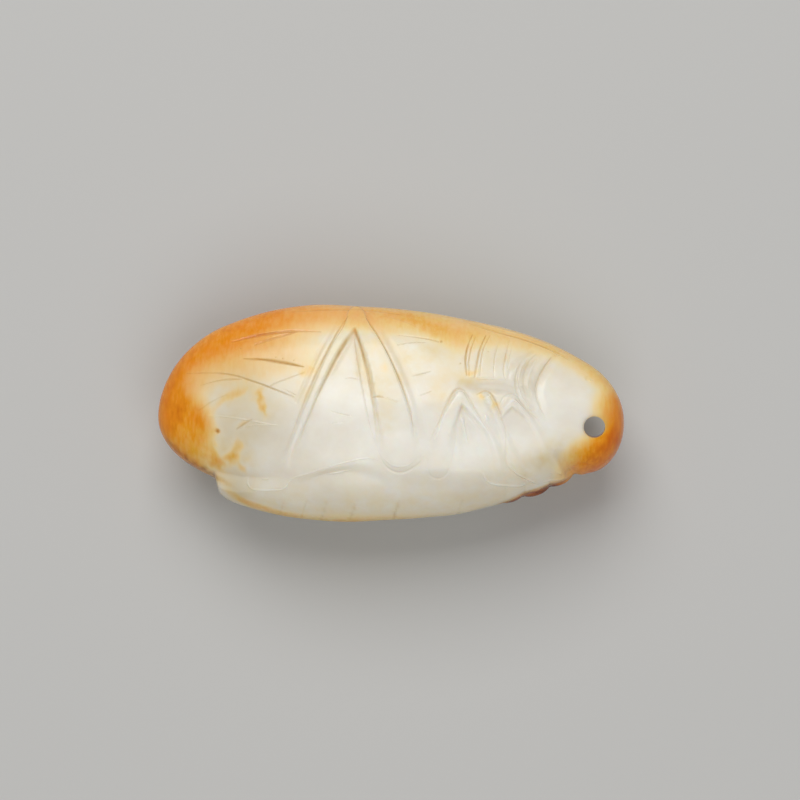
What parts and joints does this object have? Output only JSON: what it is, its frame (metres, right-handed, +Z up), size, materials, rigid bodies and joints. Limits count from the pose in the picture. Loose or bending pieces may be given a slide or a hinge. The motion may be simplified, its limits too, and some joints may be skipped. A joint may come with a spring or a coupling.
{
  "type": "jade cicada pendant",
  "caption": "Carved pale jade insect pendant lying on its side, with folded wings, bent legs, a russet skin on the tail, back and nose, and a cord hole through the head.",
  "frame": {"origin": "on the surface that the carving lies on, under the middle of its box", "axes": "+X from the tail to the head, +Y from the belly to the back, +Z up through the side that the picture shows"},
  "size_m": [0.052, 0.0242, 0.0167],
  "materials": {
    "jade": "waxy polished nephrite, translucent white with russet skin and brown stain in the carved lines"
  },
  "bodies": {
    "root": {"jade_cicada": "jade"}
  },
  "joints": []
}
